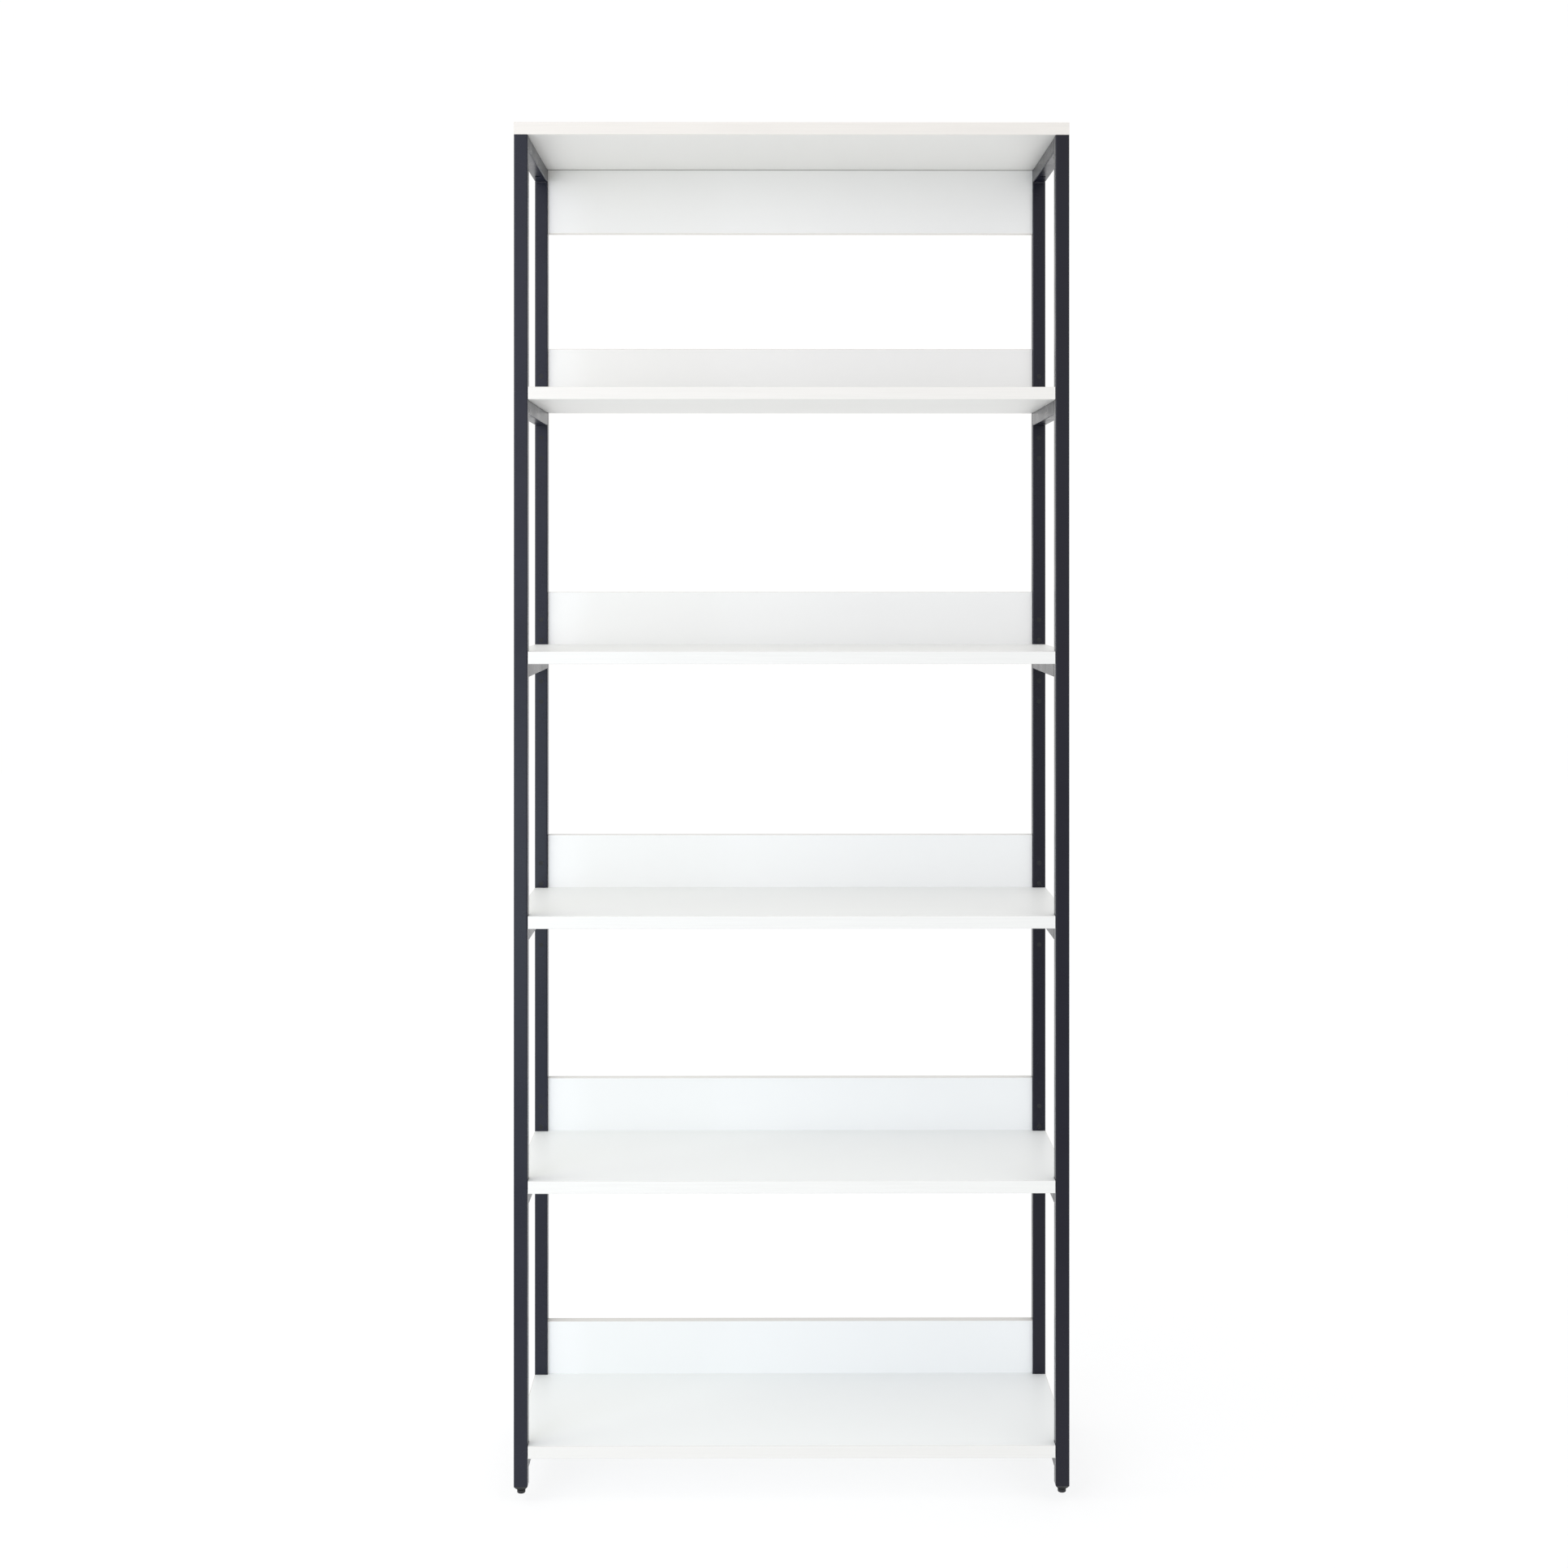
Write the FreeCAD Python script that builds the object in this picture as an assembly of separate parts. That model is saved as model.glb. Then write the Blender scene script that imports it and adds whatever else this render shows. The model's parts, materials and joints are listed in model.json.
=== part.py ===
import FreeCAD, Part
import math
import os

# Bookcase with adjustable shelves: a square-tube steel frame that carries six white boards, each
# with a low back panel. The top panel and the bottom shelf are screwed to welded rails. The four
# shelves between them hang over support pins in the posts and lift off to change height.
#
# Millimetres. The origin is on the floor under the middle of the bookcase.
# +X is the viewer's right, the open front faces -Y, and +Z is up.

# Overall sizes
overall_width = 800.0
overall_depth = 300.0
overall_height = 1975.0

# Steel frame, all of one square tube
tube_size = 20.0
tube_wall = 1.2
tube_corner_radius = 2.0

# Boards and shelf levels
bay_count = 5
bottom_shelf_top = 70.0
board_thickness = 18.0
edge_band_thickness = 1.0
edge_band_radius = 0.7
back_panel_height = 100.0
back_panel_thickness = 15.0

# Shelf support pins, and the spare holes above and below each of them
pin_head_diameter = 12.0
pin_head_length = 10.0
pin_head_chamfer = 0.8
pin_shank_diameter = 7.0
pin_shank_length = 15.0
hole_pitch = 32.0
spare_holes_each_way = 2
plug_lip = 0.7
plug_lip_thickness = 1.4

# Screws
screw_diameter = 4.5
screw_head_diameter = 8.0
screw_head_height = 3.0
access_hole_diameter = 9.4
recess_width = 0.9
recess_span = 4.6
recess_depth = 1.6
rail_screw_spacing = 160.0
rail_screw_grip = 13.0
end_screw_spacing = 60.0
end_screw_grip = 26.0
rear_screw_spacing = 270.0
rear_screw_length = 42.0
rear_screw_sink = 0.3

# Levelling feet
pad_diameter = 12.0
pad_height = 4.8
pad_edge_radius = 1.5
pad_floor_thickness = 1.8
pad_lip_height = 0.9
button_diameter = 7.0
neck_diameter = 5.6
stud_diameter = 6.0
stud_length = 24.0
hex_across_flats = 10.0
hex_height = 2.0
collar_height = 4.5
collar_inset = 3.5
insert_length = 30.0

# Fits and clearances
shelf_gap = 0.5
pin_seat_gap = 0.2
slot_gap = 0.5
running_gap = 0.08
push_fit_gap = 0.05
screw_hole_gap = 0.1
screw_tip_room = 1.0
foot_gap = 0.2

# Places worked out from the sizes above
half_width = overall_width / 2
half_depth = overall_depth / 2
inner_half_width = half_width - tube_size
inner_half_depth = half_depth - tube_size
post_x = half_width - tube_size / 2
post_y = half_depth - tube_size / 2
tube_bore = tube_size - 2 * tube_wall
top_underside = overall_height - board_thickness
back_panel_front = half_depth - back_panel_thickness
back_panel_middle = half_depth - back_panel_thickness / 2
level_spacing = (overall_height - bottom_shelf_top) / bay_count
hex_bottom = pad_height + foot_gap
collar_bottom = hex_bottom + hex_height + foot_gap
post_bottom = collar_bottom + collar_height
pin_drop = tube_wall + pin_seat_gap + pin_head_diameter / 2

SIDES = (("left", -1), ("right", 1))
ROWS = (("front", -1), ("rear", 1))
SHELF_NUMBERS = range(2, bay_count + 1)
UP = FreeCAD.Vector(0, 0, 1)


def shelf_top(number):
    """Height of the upper face of a shelf, counted from 1 at the bottom."""
    return bottom_shelf_top + (number - 1) * level_spacing


def pin_height(number):
    """Height of the axis of a shelf's support pins."""
    return shelf_top(number) - board_thickness - pin_drop


def box(low, high):
    return Part.makeBox(high[0] - low[0], high[1] - low[1], high[2] - low[2], FreeCAD.Vector(*low))


def cylinder(radius, start, direction, length):
    return Part.makeCylinder(radius, length, FreeCAD.Vector(*start), FreeCAD.Vector(*direction))


def place(shape, origin, direction):
    """Turn a shape that is built along +Z so that it runs along a direction from an origin."""
    placed = shape.copy()
    turn = FreeCAD.Rotation(UP, FreeCAD.Vector(*direction))
    placed.Placement = FreeCAD.Placement(FreeCAD.Vector(*origin), turn)
    return placed


def save(node, shapes):
    """Write one node; a node of several like pieces keeps them as separate solids."""
    shape = shapes[0] if len(shapes) == 1 else Part.makeCompound(shapes)
    shape.exportStep(os.path.join("parts", node + ".step"))


# ---------------------------------------------------------------- screws and their holes

def cross_recess(top):
    """The two crossed slots that a screwdriver turns, cut down from a head's top into it."""
    half_span = recess_span / 2
    half_slot = recess_width / 2
    first = box((-half_span, -half_slot, top), (half_span, half_slot, top + recess_depth))
    second = box((-half_slot, -half_span, top), (half_slot, half_span, top + recess_depth))
    return first.fuse(second)


def pan_screw(seat, direction, length):
    """A flat-topped screw: its head stands behind the seat and its shank runs along direction."""
    head_top = FreeCAD.Vector(0, 0, -screw_head_height)
    head = Part.makeCylinder(screw_head_diameter / 2, screw_head_height, head_top)
    shank = Part.makeCylinder(screw_diameter / 2, length)
    screw = head.fuse(shank).removeSplitter().cut(cross_recess(-screw_head_height))
    return place(screw, seat, direction)


def countersunk_screw(seat, direction, length):
    """A screw whose flat head starts at the seat and narrows to its shank."""
    head = Part.makeCone(screw_head_diameter / 2, screw_diameter / 2, screw_head_height)
    shank = Part.makeCylinder(screw_diameter / 2, length)
    screw = head.fuse(shank).removeSplitter().cut(cross_recess(0))
    return place(screw, seat, direction)


def screw_hole(seat, direction, length):
    """The hole that a screw's shank goes into, with room past its tip."""
    return cylinder(screw_diameter / 2 + screw_hole_gap, seat, direction, length + screw_tip_room)


def countersink(face, direction):
    """The sunk mouth of a hole for a countersunk screw, from the face that it opens on."""
    mouth_radius = screw_head_diameter / 2 + screw_hole_gap
    throat_radius = screw_diameter / 2 + screw_hole_gap
    entry = Part.makeCylinder(mouth_radius, rear_screw_sink)
    throat = FreeCAD.Vector(0, 0, rear_screw_sink)
    cone = Part.makeCone(mouth_radius, throat_radius, screw_head_height, throat)
    return place(entry.fuse(cone), face, direction)


def rail_screw_places(rail_top):
    """Seats of the screws that go up through the two rails under a board: inside the rails' top walls."""
    half_spacing = rail_screw_spacing / 2
    seat_height = rail_top - tube_wall
    return [(side * post_x, end * half_spacing, seat_height) for name, side in SIDES for end in (-1, 1)]


def end_screw_places(panel_bottom):
    """Seats, on the inner side walls of the rear posts, of the screws into a fixed back panel's ends."""
    middle = panel_bottom + back_panel_height / 2
    half_spacing = end_screw_spacing / 2
    seat_x = inner_half_width + tube_wall
    return [(side * seat_x, back_panel_middle, middle + end * half_spacing, side)
            for name, side in SIDES for end in (-1, 1)]


def rear_screw_places(board_top):
    """Middles, on the back panel's rear face, of the screws into the board's rear edge."""
    height = board_top - board_thickness / 2
    return [(step * rear_screw_spacing, half_depth, height) for step in (-1, 0, 1)]


fixed_panel_bottoms = (bottom_shelf_top - board_thickness, top_underside - back_panel_height)
end_screw_length = tube_wall + end_screw_grip
rail_screw_length = tube_wall + rail_screw_grip


# ---------------------------------------------------------------- steel frame

def square_bar(size, corner_radius, length):
    """A square bar along +Z from the origin, with its long edges rounded."""
    bar = box((-size / 2, -size / 2, 0), (size / 2, size / 2, length))
    long_edges = [edge for edge in bar.Edges if abs(edge.tangentAt(edge.FirstParameter).z) > 0.5]
    return bar.makeFillet(corner_radius, long_edges)


def square_tube(length):
    bore = square_bar(tube_bore, tube_corner_radius - tube_wall, length)
    return square_bar(tube_size, tube_corner_radius, length).cut(bore)


def pin_hole_places(side, row):
    """Steps and mouths of one post's pin holes: step 0 holds a shelf's pin and the others are spare."""
    places = []
    for number in SHELF_NUMBERS:
        for step in range(-spare_holes_each_way, spare_holes_each_way + 1):
            height = pin_height(number) + step * hole_pitch
            places.append((step, (side * post_x, row * inner_half_depth, height)))
    return places


def make_post(side, row):
    foot = (side * post_x, row * post_y, post_bottom)
    post = place(square_tube(top_underside - post_bottom), foot, (0, 0, 1))
    hole_radius = pin_shank_diameter / 2 + push_fit_gap
    holes = []
    for step, mouth in pin_hole_places(side, row):
        holes.append(cylinder(hole_radius, mouth, (0, row, 0), 2 * tube_wall))
    if row > 0:
        for panel_bottom in fixed_panel_bottoms:
            for x, y, z, screw_side in end_screw_places(panel_bottom):
                if screw_side == side:
                    holes.append(screw_hole((x, y, z), (-side, 0, 0), 2 * tube_wall))
                    behind_wall = (side * (half_width - 2 * tube_wall), y, z)
                    holes.append(cylinder(access_hole_diameter / 2, behind_wall, (side, 0, 0), 3 * tube_wall))
    return post.cut(Part.makeCompound(holes))


def make_rail(side, rail_top, gap, has_slots):
    """A rail from front to rear under a board; a lifting shelf's rail is slotted to drop over its pins."""
    length = 2 * (inner_half_depth - gap)
    middle_height = rail_top - tube_size / 2
    rail = place(square_tube(length), (side * post_x, -length / 2, middle_height), (0, 1, 0))
    cuts = []
    for x, y, z in rail_screw_places(rail_top):
        if x * side > 0:
            cuts.append(screw_hole((x, y, z), (0, 0, 1), tube_wall))
            below_wall = (x, y, rail_top - tube_size - tube_wall)
            cuts.append(cylinder(access_hole_diameter / 2, below_wall, (0, 0, 1), 3 * tube_wall))
    if has_slots:
        half_slot = pin_head_diameter / 2 + slot_gap
        slot_end = inner_half_depth - pin_head_length - slot_gap
        for end in (-1, 1):
            near, far = sorted((end * slot_end, end * inner_half_depth))
            cuts.append(box((side * post_x - half_slot, near, rail_top - tube_size - tube_wall),
                            (side * post_x + half_slot, far, rail_top - tube_size + 2 * tube_wall)))
    return rail.cut(Part.makeCompound(cuts))


def make_pin(mouth, outward):
    """A stepped pin: the shank goes through the post's wall and the head stands out into the rail."""
    head = Part.makeCylinder(pin_head_diameter / 2, pin_head_length)
    rim = [edge for edge in head.Edges if abs(edge.BoundBox.ZMin - pin_head_length) < pin_head_chamfer / 2]
    head = head.makeChamfer(pin_head_chamfer, [edge for edge in rim if edge.Closed])
    shank_end = FreeCAD.Vector(0, 0, -pin_shank_length)
    shank = Part.makeCylinder(pin_shank_diameter / 2, pin_shank_length, shank_end)
    pin = head.fuse(shank).removeSplitter()
    return place(pin, mouth, outward)


def make_plug(diameter, mouth, inward):
    """A flush plug for an unused hole: a disc as thick as the tube wall and a lip behind it."""
    disc = Part.makeCylinder(diameter / 2 - push_fit_gap, tube_wall)
    lip = Part.makeCylinder(diameter / 2 + plug_lip, plug_lip_thickness, FreeCAD.Vector(0, 0, tube_wall))
    return place(disc.fuse(lip).removeSplitter(), mouth, inward)


def make_frame():
    for side_name, side in SIDES:
        for row_name, row in ROWS:
            save("post_" + row_name + "_" + side_name, [make_post(side, row)])
        save("top_rail_" + side_name, [make_rail(side, top_underside, 0, False)])
        save("bottom_rail_" + side_name, [make_rail(side, bottom_shelf_top - board_thickness, 0, False)])

    pins = []
    spare_plugs = []
    hole_diameter = pin_shank_diameter + 2 * push_fit_gap
    for side_name, side in SIDES:
        for row_name, row in ROWS:
            for step, mouth in pin_hole_places(side, row):
                if step == 0:
                    pins.append(make_pin(mouth, (0, -row, 0)))
                else:
                    spare_plugs.append(make_plug(hole_diameter, mouth, (0, row, 0)))
    save("shelf_support_pins", pins)
    save("spare_hole_plugs", spare_plugs)

    screws = []
    access_plugs = []
    for panel_bottom in fixed_panel_bottoms:
        for x, y, z, side in end_screw_places(panel_bottom):
            screws.append(pan_screw((x, y, z), (-side, 0, 0), end_screw_length))
            access_plugs.append(make_plug(access_hole_diameter, (side * half_width, y, z), (-side, 0, 0)))
    save("back_panel_end_screws", screws)
    save("access_hole_plugs", access_plugs)


# ---------------------------------------------------------------- boards

def band_strip(low, high, outward):
    """A strip of edge band, with the long corners of its outer face rounded."""
    strip = box(low, high)
    outer = FreeCAD.Vector(*outward)
    reach = max(outer.dot(vertex.Point) for vertex in strip.Vertexes)
    length = max(high[axis] - low[axis] for axis in range(3))
    rounded = []
    for edge in strip.Edges:
        on_outer_face = outer.dot(edge.CenterOfMass) > reach - edge_band_thickness / 2
        if on_outer_face and edge.Length > length / 2:
            rounded.append(edge)
    return strip.makeFillet(edge_band_radius, rounded)


def make_notched_board(top):
    """A shelf board: notched at its corners round the posts, with its rear edge on the back panel."""
    bottom = top - board_thickness
    middle = box((-inner_half_width + shelf_gap, -half_depth + edge_band_thickness, bottom),
                 (inner_half_width - shelf_gap, back_panel_front, top))
    wings = box((-half_width + edge_band_thickness, -inner_half_depth + shelf_gap, bottom),
                (half_width - edge_band_thickness, inner_half_depth - shelf_gap, top))
    holes = [screw_hole(seat, (0, 0, 1), rail_screw_length) for seat in rail_screw_places(bottom)]
    for seat in rear_screw_places(top):
        holes.append(screw_hole(seat, (0, -1, 0), rear_screw_length))
    return middle.fuse(wings).removeSplitter().cut(Part.makeCompound(holes))


def notched_board_bands(top):
    """The edge bands of a shelf board: one along the front and one at each side."""
    bottom = top - board_thickness
    front_half = inner_half_width - shelf_gap
    side_half = inner_half_depth - shelf_gap
    bands = [band_strip((-front_half, -half_depth, bottom),
                        (front_half, -half_depth + edge_band_thickness, top), (0, -1, 0))]
    for name, side in SIDES:
        near, far = sorted((side * (half_width - edge_band_thickness), side * half_width))
        bands.append(band_strip((near, -side_half, bottom), (far, side_half, top), (side, 0, 0)))
    return bands


def make_back_panel(bottom, gap, rear_screw_middles, end_screws):
    """The panel between the rear posts, without the bands on its long edges."""
    half_length = inner_half_width - gap
    panel = box((-half_length, back_panel_front, bottom + edge_band_thickness),
                (half_length, half_depth, bottom + back_panel_height - edge_band_thickness))
    holes = []
    for middle in rear_screw_middles:
        holes.append(countersink(middle, (0, -1, 0)))
        holes.append(screw_hole(middle, (0, -1, 0), rear_screw_length))
    for x, y, z, side in end_screws:
        holes.append(screw_hole((x, y, z), (-side, 0, 0), end_screw_length))
    return panel.cut(Part.makeCompound(holes))


def back_panel_bands(bottom, gap):
    """The bands on a back panel's lower and upper edges."""
    half_length = inner_half_width - gap
    top = bottom + back_panel_height
    bands = []
    for low, outward in ((bottom, -1), (top - edge_band_thickness, 1)):
        bands.append(band_strip((-half_length, back_panel_front, low),
                                (half_length, half_depth, low + edge_band_thickness), (0, 0, outward)))
    return bands


def rear_screws(top):
    """Screws through the back panel into the board's rear edge, their heads just under the surface."""
    seats = [(x, y - rear_screw_sink, z) for x, y, z in rear_screw_places(top)]
    return [countersunk_screw(seat, (0, -1, 0), rear_screw_length) for seat in seats]


def rail_screws(rail_top):
    return [pan_screw(seat, (0, 0, 1), rail_screw_length) for seat in rail_screw_places(rail_top)]


def make_lifting_shelf(number):
    """One adjustable shelf: board, back panel, their bands, two slotted rails and the screws."""
    name = "shelf_" + str(number)
    top = shelf_top(number)
    bottom = top - board_thickness
    save(name + "_board", [make_notched_board(top)])
    save(name + "_back_panel", [make_back_panel(bottom, shelf_gap, rear_screw_places(top), [])])
    save(name + "_edge_bands", notched_board_bands(top) + back_panel_bands(bottom, shelf_gap))
    for side_name, side in SIDES:
        save(name + "_rail_" + side_name, [make_rail(side, bottom, shelf_gap, True)])
    save(name + "_screws", rail_screws(bottom) + rear_screws(top))


def make_bottom_shelf():
    top = bottom_shelf_top
    bottom = top - board_thickness
    save("bottom_shelf_board", [make_notched_board(top)])
    save("bottom_back_panel", [make_back_panel(bottom, 0, rear_screw_places(top), end_screw_places(bottom))])
    save("bottom_shelf_edge_bands", notched_board_bands(top) + back_panel_bands(bottom, 0))
    save("bottom_shelf_screws", rail_screws(bottom) + rear_screws(top))


def make_top_panel():
    """The full board on top of the posts, and the back panel that hangs under it."""
    band = edge_band_thickness
    panel = box((-half_width + band, -half_depth + band, top_underside),
                (half_width - band, half_depth - band, overall_height))
    holes = [screw_hole(seat, (0, 0, 1), rail_screw_length) for seat in rail_screw_places(top_underside)]
    save("top_panel_board", [panel.cut(Part.makeCompound(holes))])

    bands = []
    for name, row in ROWS:
        near, far = sorted((row * (half_depth - band), row * half_depth))
        bands.append(band_strip((-half_width, near, top_underside),
                                (half_width, far, overall_height), (0, row, 0)))
    for name, side in SIDES:
        near, far = sorted((side * (half_width - band), side * half_width))
        bands.append(band_strip((near, -half_depth + band, top_underside),
                                (far, half_depth - band, overall_height), (side, 0, 0)))
    panel_bottom = top_underside - back_panel_height
    save("top_panel_edge_bands", bands + back_panel_bands(panel_bottom, 0))
    save("top_back_panel", [make_back_panel(panel_bottom, 0, [], end_screw_places(panel_bottom))])
    save("top_panel_screws", rail_screws(top_underside))


# ---------------------------------------------------------------- levelling feet

def make_insert():
    """The moulded insert in a post's lower end: a tapered collar outside and a bored block inside."""
    mouth_size = tube_size - 2 * collar_inset
    rims = []
    for size, height in ((mouth_size, collar_bottom), (tube_size, post_bottom)):
        corners = [(-1, -1), (1, -1), (1, 1), (-1, 1), (-1, -1)]
        points = [FreeCAD.Vector(x * size / 2, y * size / 2, height) for x, y in corners]
        rims.append(Part.makePolygon(points))
    collar = Part.makeLoft(rims, True, True)
    trim = square_bar(tube_size, tube_corner_radius, overall_height)
    block = square_bar(tube_bore - 2 * push_fit_gap, tube_corner_radius - tube_wall, insert_length)
    insert = collar.common(trim).fuse(place(block, (0, 0, post_bottom), (0, 0, 1)))
    stud_hole = cylinder(stud_diameter / 2 + running_gap, (0, 0, 0), (0, 0, 1),
                         hex_bottom + hex_height + stud_length + screw_tip_room)
    return insert.cut(stud_hole)


def make_pad():
    """The round foot pad, with a socket that the stud's button snaps into and turns in."""
    radius = pad_diameter / 2
    pad = Part.makeCylinder(radius, pad_height)
    foot_edge = [edge for edge in pad.Edges if edge.Closed and abs(edge.BoundBox.ZMax) < pad_edge_radius / 2]
    pad = pad.makeFillet(pad_edge_radius, foot_edge)
    chamber_height = pad_height - pad_lip_height - pad_floor_thickness
    chamber_floor = (0, 0, pad_floor_thickness)
    chamber = cylinder(button_diameter / 2 + running_gap, chamber_floor, (0, 0, 1), chamber_height)
    mouth = cylinder(neck_diameter / 2 + running_gap, chamber_floor, (0, 0, 1), pad_height)
    return pad.cut(chamber.fuse(mouth))


def make_stud():
    """The threaded stud: a button held in the pad, a hexagon to turn it by and the shank above."""
    button_bottom = pad_floor_thickness + running_gap
    button_height = pad_height - pad_lip_height - pad_floor_thickness - 2 * running_gap
    button = cylinder(button_diameter / 2, (0, 0, button_bottom), (0, 0, 1), button_height)
    neck = cylinder(neck_diameter / 2, (0, 0, button_bottom), (0, 0, 1), hex_bottom - button_bottom)
    sixth_turn = math.pi / 3
    corner_radius = hex_across_flats / 2 / math.cos(sixth_turn / 2)
    corners = []
    for turn in range(7):
        x = corner_radius * math.cos(turn * sixth_turn)
        y = corner_radius * math.sin(turn * sixth_turn)
        corners.append(FreeCAD.Vector(x, y, hex_bottom))
    hexagon = Part.Face(Part.makePolygon(corners)).extrude(FreeCAD.Vector(0, 0, hex_height))
    shank = cylinder(stud_diameter / 2, (0, 0, hex_bottom), (0, 0, 1), hex_height + stud_length)
    return button.fuse([neck, hexagon, shank]).removeSplitter()


def make_feet():
    insert = make_insert()
    pad = make_pad()
    stud = make_stud()
    inserts = []
    for side_name, side in SIDES:
        for row_name, row in ROWS:
            spot = (side * post_x, row * post_y, 0)
            inserts.append(place(insert, spot, (0, 0, 1)))
            save("foot_pad_" + row_name + "_" + side_name, [place(pad, spot, (0, 0, 1))])
            save("foot_stud_" + row_name + "_" + side_name, [place(stud, spot, (0, 0, 1))])
    save("foot_inserts", inserts)


os.makedirs("parts", exist_ok=True)
make_frame()
make_bottom_shelf()
for shelf_number in SHELF_NUMBERS:
    make_lifting_shelf(shelf_number)
make_top_panel()
make_feet()
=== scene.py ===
import json
import math

import bmesh
import bpy
from mathutils import Matrix, Vector


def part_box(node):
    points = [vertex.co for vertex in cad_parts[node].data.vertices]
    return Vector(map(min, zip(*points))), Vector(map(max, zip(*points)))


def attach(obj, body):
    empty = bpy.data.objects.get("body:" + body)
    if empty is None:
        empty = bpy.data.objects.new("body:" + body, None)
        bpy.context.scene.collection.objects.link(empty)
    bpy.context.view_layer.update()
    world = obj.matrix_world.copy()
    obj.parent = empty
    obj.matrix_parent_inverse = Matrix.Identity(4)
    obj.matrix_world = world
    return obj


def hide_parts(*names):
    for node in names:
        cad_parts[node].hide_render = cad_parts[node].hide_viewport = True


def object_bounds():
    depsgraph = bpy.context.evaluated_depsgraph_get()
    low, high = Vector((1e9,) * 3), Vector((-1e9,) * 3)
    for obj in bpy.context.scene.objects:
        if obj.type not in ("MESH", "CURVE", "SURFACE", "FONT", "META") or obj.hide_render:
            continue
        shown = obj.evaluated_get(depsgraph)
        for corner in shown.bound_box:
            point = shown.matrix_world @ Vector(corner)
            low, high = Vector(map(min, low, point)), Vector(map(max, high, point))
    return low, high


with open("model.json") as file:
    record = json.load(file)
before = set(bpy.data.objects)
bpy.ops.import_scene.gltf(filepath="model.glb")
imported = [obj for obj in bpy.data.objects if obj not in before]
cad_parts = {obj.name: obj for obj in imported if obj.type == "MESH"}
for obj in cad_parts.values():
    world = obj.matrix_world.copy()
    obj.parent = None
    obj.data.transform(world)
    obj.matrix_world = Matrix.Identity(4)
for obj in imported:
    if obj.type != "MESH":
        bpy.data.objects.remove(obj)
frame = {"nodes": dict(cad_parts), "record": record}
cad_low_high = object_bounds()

# ---------------------------------------------------------------- places read from the frame

MM = 0.001
SIDES = ("left", "right")
ROWS = ("front", "rear")
LOWEST_CORNER = Vector(cad_low_high[0])
GROUND = LOWEST_CORNER.z
FRONT = LOWEST_CORNER.y
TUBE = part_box("post_front_left")[1].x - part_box("post_front_left")[0].x
RIGHT_POST_INNER_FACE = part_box("post_front_right")[0].x
TOP_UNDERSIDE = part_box("top_panel_board")[0].z
BOTTOM_SHELF_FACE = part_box("bottom_shelf_board")[1].z


# ---------------------------------------------------------------- shader expressions

class Value:
    """A shader socket that Python's operators work on, with plain numbers or other sockets."""

    def __init__(self, finish, socket):
        self.finish = finish
        self.socket = socket

    def _math(self, operation, first, second):
        return self.finish.add("ShaderNodeMath", {"operation": operation}, {0: first, 1: second})

    def __add__(self, other):
        return self._math("ADD", self, other)

    def __radd__(self, other):
        return self._math("ADD", other, self)

    def __sub__(self, other):
        return self._math("SUBTRACT", self, other)

    def __rsub__(self, other):
        return self._math("SUBTRACT", other, self)

    def __mul__(self, other):
        return self._math("MULTIPLY", self, other)

    def __rmul__(self, other):
        return self._math("MULTIPLY", other, self)


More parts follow.
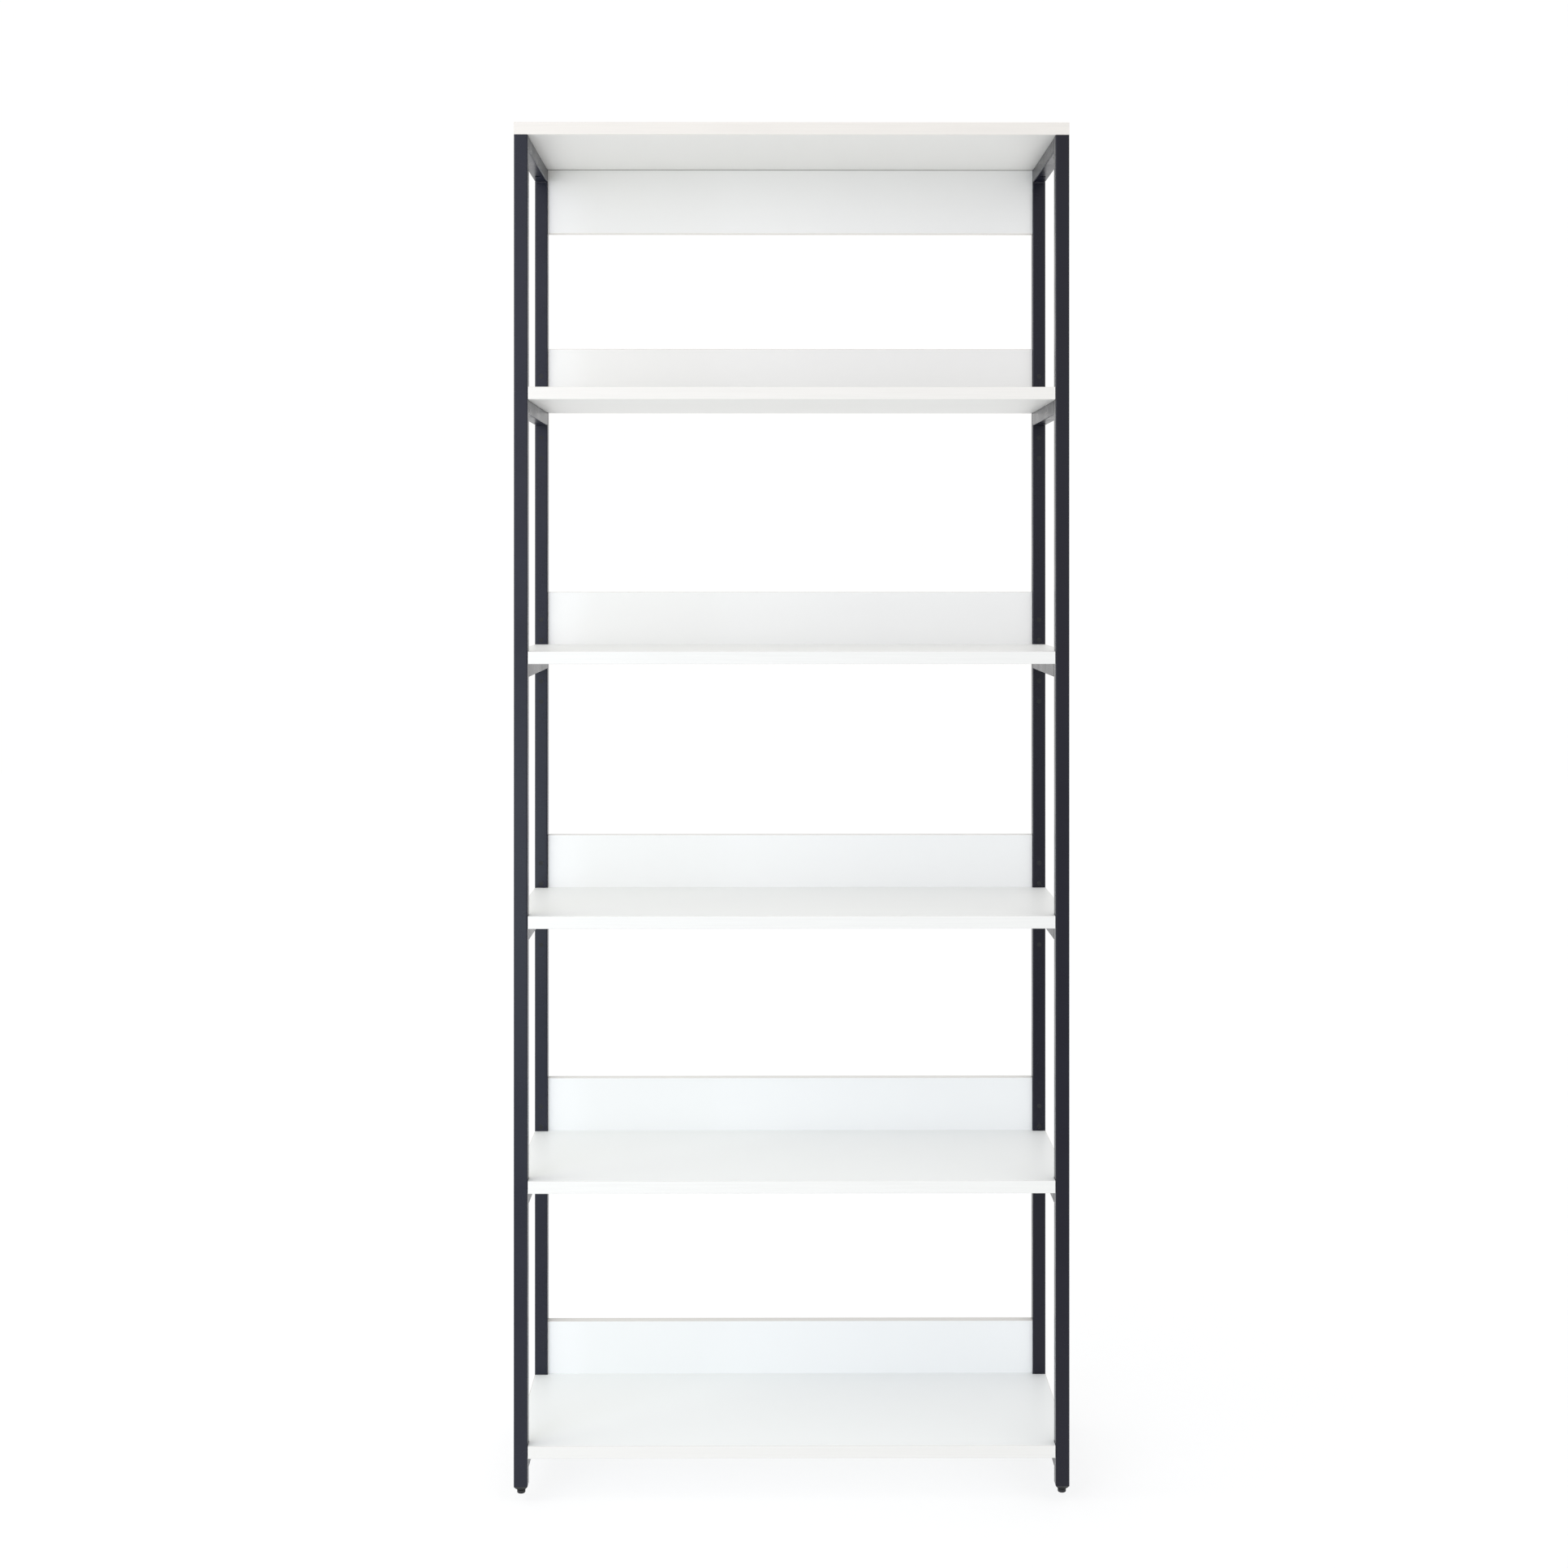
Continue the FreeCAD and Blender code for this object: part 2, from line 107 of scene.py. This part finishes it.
class Finish:
    """One procedural material: a shader, the object's own coordinates, and nodes added by expression."""

    def __init__(self, name):
        self.material = bpy.data.materials.new(name)
        self.material.use_nodes = True
        self.tree = self.material.node_tree
        self.tree.nodes.clear()
        self.shader = self.tree.nodes.new("ShaderNodeBsdfPrincipled")
        output = self.tree.nodes.new("ShaderNodeOutputMaterial")
        self.tree.links.new(self.shader.outputs["BSDF"], output.inputs["Surface"])
        self.place = self.add("ShaderNodeTexCoord", output="Object")

    def add(self, kind, settings=None, inputs=None, output=0):
        """Adds a node with its settings, then its sockets' values or links, and returns one output."""
        node = self.tree.nodes.new(kind)
        for key, setting in (settings or {}).items():
            setattr(node, key, setting)
        for key, value in (inputs or {}).items():
            self.feed(node.inputs[key], value)
        return Value(self, node.outputs[output])

    def feed(self, socket, value):
        """Links a socket to a value, or sets it to a plain one."""
        if isinstance(value, Value):
            self.tree.links.new(value.socket, socket)
        else:
            socket.default_value = value

    def set(self, **sockets):
        """Sets the shader's own sockets; an underscore in a name stands for a space."""
        for key, value in sockets.items():
            self.feed(self.shader.inputs[key.replace("_", " ")], value)

    def noise(self, scale, detail=2.0, roughness=0.5, at=None):
        """Noise with so many cells in a metre."""
        inputs = {"Vector": at or self.place, "Scale": scale, "Detail": detail, "Roughness": roughness}
        return self.add("ShaderNodeTexNoise", inputs=inputs)

    def stretched(self, x, y, z):
        """The object's coordinates, each axis times a factor."""
        return self.add("ShaderNodeVectorMath", {"operation": "MULTIPLY"}, {0: self.place, 1: (x, y, z)})

    def distance(self, axis):
        """The object's coordinate along one axis, X, Y or Z."""
        return self.add("ShaderNodeSeparateXYZ", inputs={0: self.place}, output=axis)

    def upward(self):
        """One on faces that look up, zero on the others."""
        normal = self.add("ShaderNodeNewGeometry", output="Normal")
        steepness = self.add("ShaderNodeSeparateXYZ", inputs={0: normal}, output="Z")
        return self.spread(steepness, (0.6, 0.9))

    def spread(self, value, given, wanted=(0.0, 1.0)):
        """A value's given range, mapped to the wanted range and held at its ends."""
        inputs = {"Value": value, "From Min": given[0], "From Max": given[1],
                  "To Min": wanted[0], "To Max": wanted[1]}
        return self.add("ShaderNodeMapRange", inputs=inputs)

    def mix(self, share, first, second):
        """A colour between two colours."""
        return self.add("ShaderNodeMix", {"data_type": "RGBA"}, {0: share, 6: first, 7: second}, output=2)

    def bump(self, height, depth, strength):
        """A normal from a height between zero and one, with its depth in metres."""
        inputs = {"Height": height, "Distance": depth, "Strength": strength}
        return self.add("ShaderNodeBump", inputs=inputs)


def colour(red, green, blue):
    return (red, green, blue, 1.0)


# ---------------------------------------------------------------- finishes

NOISE = (0.3, 0.7)
NOISE_MIDDLE = (0.35, 0.65)


def powder_coat():
    """Charcoal powder coat on steel: a fine even skin, semi-matt, with shade painted darker on the right-hand
    posts.
    """
    finish = Finish("charcoal_powder_coat")
    skin = finish.noise(scale=1100.0, detail=2.0, roughness=0.55)
    cloud = finish.noise(scale=14.0, detail=3.0)
    tone = finish.spread(skin * 0.7 + cloud * 0.3, NOISE_MIDDLE)
    left_black = finish.mix(tone, colour(0.008, 0.009, 0.018), colour(0.013, 0.015, 0.027))
    # painted shade: the right-hand posts are darker because the light falls from the left
    painted_shade_right_black = finish.mix(tone, colour(0.0036, 0.0038, 0.0100), colour(0.0059, 0.0063, 0.0155))
    painted_shade_to_right = finish.spread(finish.distance("X"), (0.0, RIGHT_POST_INNER_FACE))
    finish.set(Base_Color=finish.mix(painted_shade_to_right, left_black, painted_shade_right_black),
               Roughness=finish.spread(cloud, NOISE, (0.24, 0.32)),
               Specular_IOR_Level=0.32,
               Normal=finish.bump(skin, depth=0.04 * MM, strength=0.3))
    return finish.material


def melamine():
    """White melamine face: satin, with a faint pearl grain, and painted light: a cooler white on the lower
    boards, warmer higher up.
    """
    finish = Finish("white_melamine")
    pearl = finish.noise(scale=900.0)
    cloud = finish.noise(scale=5.0)
    # painted light: a cooler white low down and a warmer white higher up, for the light that falls there
    painted_cool_light_white = finish.mix(cloud, colour(0.824, 0.838, 0.836), colour(0.836, 0.850, 0.847))
    plain_white = finish.mix(cloud, colour(0.820, 0.817, 0.799), colour(0.832, 0.828, 0.811))
    painted_light_going_up = finish.spread(finish.distance("Z"), (0.3, 1.7))
    finish.set(Base_Color=finish.mix(painted_light_going_up, painted_cool_light_white, plain_white),
               Roughness=finish.spread(pearl, NOISE, (0.42, 0.50)),
               Normal=finish.bump(pearl, depth=0.05 * MM, strength=0.25))
    return finish.material


def edge_band():
    """White edge band, smoother than the faces, with painted warm light towards the top.

    Painted shade darkens it near the floor, on faces that look up, and in the groove under the top panel.
    """
    finish = Finish("white_edge_band")
    streak = finish.noise(scale=60.0, detail=3.0, at=finish.stretched(0.15, 1.0, 6.0))
    tone = finish.spread(streak, NOISE_MIDDLE)
    plain_white = finish.mix(tone, colour(0.780, 0.780, 0.758), colour(0.801, 0.801, 0.779))
    # painted light: a warmer white towards the top
    painted_warm_light_white = finish.mix(tone, colour(0.757, 0.727, 0.682), colour(0.778, 0.747, 0.700))
    height = finish.distance("Z")
    band_before_painted_shade = finish.mix(finish.spread(height, (1.2, 1.95)), plain_white, painted_warm_light_white)
    # painted shade: darker near the floor and on faces that look up
    painted_shade_near_floor = 1.0 - finish.spread(height, (BOTTOM_SHELF_FACE, 0.4))
    painted_shade = 0.6 * finish.upward() + 0.35 * painted_shade_near_floor
    painted_shade_band = finish.mix(painted_shade, band_before_painted_shade, colour(0.62, 0.60, 0.57))
    # painted shadow: a dark line in the groove under the top panel
    above_groove_foot = finish.spread(height, (TOP_UNDERSIDE - 1.6 * MM, TOP_UNDERSIDE - 0.9 * MM))
    in_panel = finish.spread(height, (TOP_UNDERSIDE - 0.1 * MM, TOP_UNDERSIDE))
    painted_groove_shadow = above_groove_foot * (1.0 - in_panel)
    finish.set(Base_Color=finish.mix(painted_groove_shadow, painted_shade_band, colour(0.30, 0.29, 0.28)),
               Roughness=finish.spread(streak, NOISE, (0.30, 0.38)),
               Normal=finish.bump(streak, depth=0.04 * MM, strength=0.3))
    return finish.material


def bright_zinc():
    """Bright zinc plate on screws and pins."""
    finish = Finish("bright_zinc")
    spangle = finish.noise(scale=420.0, detail=3.0)
    finish.set(Base_Color=finish.mix(spangle, colour(0.52, 0.53, 0.55), colour(0.70, 0.71, 0.72)),
               Metallic=1.0,
               Roughness=finish.spread(spangle, NOISE, (0.22, 0.38)),
               Normal=finish.bump(spangle, depth=0.05 * MM, strength=0.2))
    return finish.material


def black_zinc():
    """Black passivated plate on the levelling studs: oily dark metal, browner where it is thin."""
    finish = Finish("black_zinc")
    cloud = finish.noise(scale=300.0, detail=3.0)
    finish.set(Base_Color=finish.mix(cloud, colour(0.020, 0.021, 0.025), colour(0.050, 0.048, 0.046)),
               Metallic=0.8,
               Roughness=finish.spread(cloud, NOISE, (0.32, 0.45)),
               Normal=finish.bump(cloud, depth=0.05 * MM, strength=0.2))
    return finish.material


def black_nylon():
    """Moulded black nylon with a fine spark-eroded grain."""
    finish = Finish("black_nylon")
    grain = finish.noise(scale=1400.0)
    cloud = finish.noise(scale=80.0)
    finish.set(Base_Color=finish.mix(cloud, colour(0.008, 0.009, 0.011), colour(0.014, 0.015, 0.018)),
               Roughness=finish.spread(cloud, NOISE, (0.42, 0.52)),
               Specular_IOR_Level=0.35,
               Normal=finish.bump(grain, depth=0.1 * MM, strength=0.3))
    return finish.material


def glowing_white():
    """A white table lit from below, so that hardly a shadow shows, and dimmer in front of the bookcase."""
    finish = Finish("studio_floor")
    cloud = finish.noise(scale=3.0)
    from_front = finish.distance("Y") + cloud * 0.1
    glow = finish.spread(from_front, (-1.5, -0.45), (0.42, 0.72))
    finish.set(Base_Color=colour(0.25, 0.25, 0.25),
               Roughness=0.9,
               Emission_Color=finish.mix(glow, colour(0.0, 0.0, 0.0), colour(0.99, 0.995, 1.0)),
               Emission_Strength=1.0)
    return finish.material


FINISH_OF_SLOT = {
    "frame_steel": powder_coat(),
    "white_melamine": melamine(),
    "white_edge_band": edge_band(),
    "zinc_steel": bright_zinc(),
    "black_zinc_steel": black_zinc(),
    "black_nylon": black_nylon(),
}


def finish_nodes():
    """Gives every node of the frame the finish of its slot."""
    for subpart in frame["record"]["subparts"]:
        node = frame["nodes"][subpart["node"]]
        for slot in node.material_slots:
            slot.link = "DATA"
            slot.material = FINISH_OF_SLOT[subpart["material_slot"]]


finish_nodes()


# ---------------------------------------------------------------- forms

SHARP_EDGE = math.radians(35.0)


def join_rows(form, rows):
    """A closed form: faces from each row of vertices to the next, and one on each end row."""
    count = len(rows[0])
    for first, second in zip(rows, rows[1:]):
        for place in range(count):
            following = (place + 1) % count
            form.faces.new((first[place], first[following], second[following], second[place]))
    form.faces.new(rows[0])
    form.faces.new(rows[-1])


def show_piece(name, form, slot, body):
    """Turns a form into a finished piece that rides on a body."""
    bmesh.ops.recalc_face_normals(form, faces=form.faces)
    mesh = bpy.data.meshes.new(name)
    form.to_mesh(mesh)
    form.free()
    mesh.shade_smooth()
    mesh.set_sharp_from_angle(angle=SHARP_EDGE)
    mesh.materials.append(FINISH_OF_SLOT[slot])
    piece = bpy.data.objects.new(name, mesh)
    bpy.context.scene.collection.objects.link(piece)
    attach(piece, body)
    return piece


# ---------------------------------------------------------------- weld beads

BEAD_MARGIN = 2.0 * MM
BEAD_LEG = 2.6 * MM
BEAD_TAPER = 2.0 * MM
BEAD_BLUNTNESS = 0.3
BEAD_RIPPLE = 0.07
BEAD_RIPPLE_PITCH = 1.5 * MM
BEAD_SWELL = 0.10
BEAD_STEPS = 60
BEAD_ARC_STEPS = 8


def bead_leg(along, length):
    """How far a bead reaches from its corner: less at its blunt ends, and rippled along its length."""
    to_end = min(along, length - along)
    taper = min(1.0, BEAD_BLUNTNESS + to_end / BEAD_TAPER) ** 0.5
    ripple = 1.0 + BEAD_RIPPLE * math.sin(2.0 * math.pi * along / BEAD_RIPPLE_PITCH)
    return BEAD_LEG * taper * ripple


def make_weld_bead(name, corner, inward):
    """A rippled fillet of weld in the corner between a rail's underside and its post."""
    form = bmesh.new()
    length = TUBE - 2.0 * BEAD_MARGIN
    rows = []
    for step in range(BEAD_STEPS + 1):
        along = length * step / BEAD_STEPS
        leg = bead_leg(along, length)
        x = corner.x + along - length / 2
        row = [form.verts.new((x, corner.y, corner.z))]
        for arc_step in range(BEAD_ARC_STEPS + 1):
            down = arc_step / BEAD_ARC_STEPS
            swell = BEAD_SWELL * leg * math.sin(math.pi * down)
            y = corner.y + inward * (leg * (1.0 - down) + swell)
            z = corner.z - leg * down - swell
            row.append(form.verts.new((x, y, z)))
        rows.append(row)
    join_rows(form, rows)
    show_piece(name, form, "frame_steel", "frame")


def make_weld_beads():
    """One bead under each end of the four fixed rails."""
    for level in ("top", "bottom"):
        for side in SIDES:
            low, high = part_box(f"{level}_rail_{side}")
            middle = (low.x + high.x) / 2
            make_weld_bead(f"weld_{level}_rail_{side}_front", Vector((middle, low.y, low.z)), 1)
            make_weld_bead(f"weld_{level}_rail_{side}_rear", Vector((middle, high.y, low.z)), -1)


make_weld_beads()


# ---------------------------------------------------------------- levelling studs

STUD_SPOKES = 48
BUTTON_RADIUS = 3.5 * MM
BUTTON_HEIGHT = 1.94 * MM
BUTTON_BREAK = 0.2 * MM
NECK_RADIUS = 2.8 * MM
HEXAGON_LOW = 5.0 * MM
HEXAGON_HIGH = 7.0 * MM
HEXAGON_FACE_RADIUS = 5.05 * MM
HEXAGON_FULL_RADIUS = 6.0 * MM
HEXAGON_CHAMFER = 0.35 * MM
THREAD_CREST = 3.0 * MM
THREAD_ROOT = 2.45 * MM
THREAD_PITCH = 1.0 * MM
THREAD_FLAT = 0.2
THREAD_FLANK = 0.6
THREAD_RELIEF = 0.4 * MM
THREAD_STEPS = 188
END_RADIUS = THREAD_ROOT - 0.3 * MM


def round_outline(turn, height):
    """No outline of its own: the ring's largest radius makes it round."""
    return math.inf


def hexagon_outline(across_flats):
    """An outline that gives the distance from a hexagon's middle to its sides; a corner is at zero."""
    def outline(turn, height):
        return across_flats / 2 / math.cos(turn % (math.pi / 3) - math.pi / 6)
    return outline


def thread_outline(turn, height):
    """A right-hand thread's radius at a height, with flats on its crests and roots."""
    phase = (height / THREAD_PITCH - turn / (2.0 * math.pi)) % 1.0
    rise = (1.0 - abs(2.0 * phase - 1.0) - THREAD_FLAT) / THREAD_FLANK
    return THREAD_ROOT + (THREAD_CREST - THREAD_ROOT) * min(1.0, max(0.0, rise))


def stud_rings(low, high):
    """A stud's rings from its button to its chamfered end: height, largest radius and outline."""
    button_top = low.z + BUTTON_HEIGHT
    rings = [
        (low.z, BUTTON_RADIUS - BUTTON_BREAK, round_outline),
        (low.z + BUTTON_BREAK, BUTTON_RADIUS, round_outline),
        (button_top - BUTTON_BREAK, BUTTON_RADIUS, round_outline),
        (button_top, BUTTON_RADIUS - BUTTON_BREAK, round_outline),
        (button_top, NECK_RADIUS, round_outline),
        (HEXAGON_LOW, NECK_RADIUS, round_outline),
    ]
    hexagon = hexagon_outline(high.y - low.y)
    rings += [
        (HEXAGON_LOW, HEXAGON_FACE_RADIUS, hexagon),
        (HEXAGON_LOW + HEXAGON_CHAMFER, HEXAGON_FULL_RADIUS, hexagon),
        (HEXAGON_HIGH - HEXAGON_CHAMFER, HEXAGON_FULL_RADIUS, hexagon),
        (HEXAGON_HIGH, HEXAGON_FACE_RADIUS, hexagon),
        (HEXAGON_HIGH, THREAD_ROOT, round_outline),
    ]
    thread_low = HEXAGON_HIGH + THREAD_RELIEF
    for step in range(THREAD_STEPS + 1):
        height = thread_low + (high.z - thread_low) * step / THREAD_STEPS
        rings.append((height, END_RADIUS + high.z - height, thread_outline))
    return rings


def make_threaded_stud(row, side):
    """A levelling stud: button, neck, chamfered hexagon and an M6 thread with a chamfered end."""
    node = f"foot_stud_{row}_{side}"
    low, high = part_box(node)
    middle = (low + high) / 2
    form = bmesh.new()
    rows = []
    for height, largest, outline in stud_rings(low, high):
        points = []
        for spoke in range(STUD_SPOKES):
            turn = 2.0 * math.pi * spoke / STUD_SPOKES
            radius = min(largest, outline(turn, height))
            x = middle.x + radius * math.cos(turn)
            y = middle.y + radius * math.sin(turn)
            points.append(form.verts.new((x, y, height)))
        rows.append(points)
    join_rows(form, rows)
    stud = show_piece(f"threaded_stud_{row}_{side}", form, "black_zinc_steel", f"foot_{row}_{side}_stud")
    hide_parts(node)


for row in ROWS:
    for side in SIDES:
        make_threaded_stud(row, side)


# ---------------------------------------------------------------- studio

FLOOR_RADIUS = 12.0
FLOOR_SEGMENTS = 64
FLOOR_CLEARANCE = 0.2 * MM
WORLD_WHITE = colour(1.0, 0.995, 0.988)
WORLD_STRENGTH = 1.015


def make_floor():
    """A wide round white floor, just under the lowest place that the feet screw out to."""
    reaches = [joint["range_m"][1] for joint in frame["record"]["behaviour"]["joints"]
               if joint["name"].endswith("_travel")]
    mesh = bpy.data.meshes.new("studio_floor")
    form = bmesh.new()
    bmesh.ops.create_circle(form, cap_ends=True, segments=FLOOR_SEGMENTS, radius=FLOOR_RADIUS)
    form.to_mesh(mesh)
    form.free()
    mesh.materials.append(glowing_white())
    floor = bpy.data.objects.new("studio_floor", mesh)
    floor.location.z = GROUND - max(reaches) - FLOOR_CLEARANCE
    bpy.context.scene.collection.objects.link(floor)


def add_soft_light(name, place, target, size, watts, tint):
    """A rectangular soft light, size wide and high, that faces a target."""
    lamp = bpy.data.lights.new(name, "AREA")
    lamp.shape = "RECTANGLE"
    lamp.size, lamp.size_y = size
    lamp.energy = watts
    lamp.color = tint
    light = bpy.data.objects.new(name, lamp)
    bpy.context.scene.collection.objects.link(light)
    aim = Vector(target) - Vector(place)
    light.matrix_world = Matrix.Translation(place) @ aim.to_track_quat("-Z", "Y").to_matrix().to_4x4()


def make_lights():
    """White all round, and three soft lights at the left: in front, low down, and at the side."""
    world = bpy.data.worlds.new("studio_white")
    bpy.context.scene.world = world
    world.use_nodes = True
    background = world.node_tree.nodes["Background"]
    background.inputs["Color"].default_value = WORLD_WHITE
    background.inputs["Strength"].default_value = WORLD_STRENGTH
    add_soft_light("left_softbox", place=(-2.2, -3.4, 1.9), target=(0.0, 0.0, 1.0),
                   size=(2.2, 2.2), watts=38.0, tint=(0.79, 0.81, 1.0))
    add_soft_light("low_softbox", place=(-1.5, -2.8, 0.45), target=(0.0, 0.0, 0.5),
                   size=(2.4, 0.8), watts=10.6, tint=(0.80, 0.955, 1.0))
    add_soft_light("side_softbox", place=(-1.9, -0.5, 1.5), target=(0.0, 0.0, 0.9),
                   size=(1.0, 1.4), watts=10.2, tint=(0.97, 1.0, 0.88))


make_floor()
make_lights()


# ---------------------------------------------------------------- camera

CAMERA_LEFT = -0.0255
CAMERA_BACK = 3.166
CAMERA_HEIGHT = 1.340
CAMERA_YAW = math.radians(-0.26)
CAMERA_PITCH = math.radians(0.05)
SENSOR_WIDTH = 36.0
FOCAL_LENGTH = 50.51
VERTICAL_SHIFT = -0.142


def make_camera():
    """Level, at the height of the upper shelves, in front of the bookcase and a little to its left."""
    lens = bpy.data.cameras.new("camera")
    lens.sensor_width = SENSOR_WIDTH
    lens.lens = FOCAL_LENGTH
    lens.shift_y = VERTICAL_SHIFT
    camera = bpy.data.objects.new("camera", lens)
    bpy.context.scene.collection.objects.link(camera)
    place = Vector((CAMERA_LEFT, FRONT - CAMERA_BACK, CAMERA_HEIGHT))
    camera.matrix_world = (Matrix.Translation(place) @ Matrix.Rotation(CAMERA_YAW, 4, "Z")
                           @ Matrix.Rotation(math.pi / 2 + CAMERA_PITCH, 4, "X"))
    bpy.context.scene.camera = camera


make_camera()
bpy.context.scene.view_settings.view_transform = "Standard"
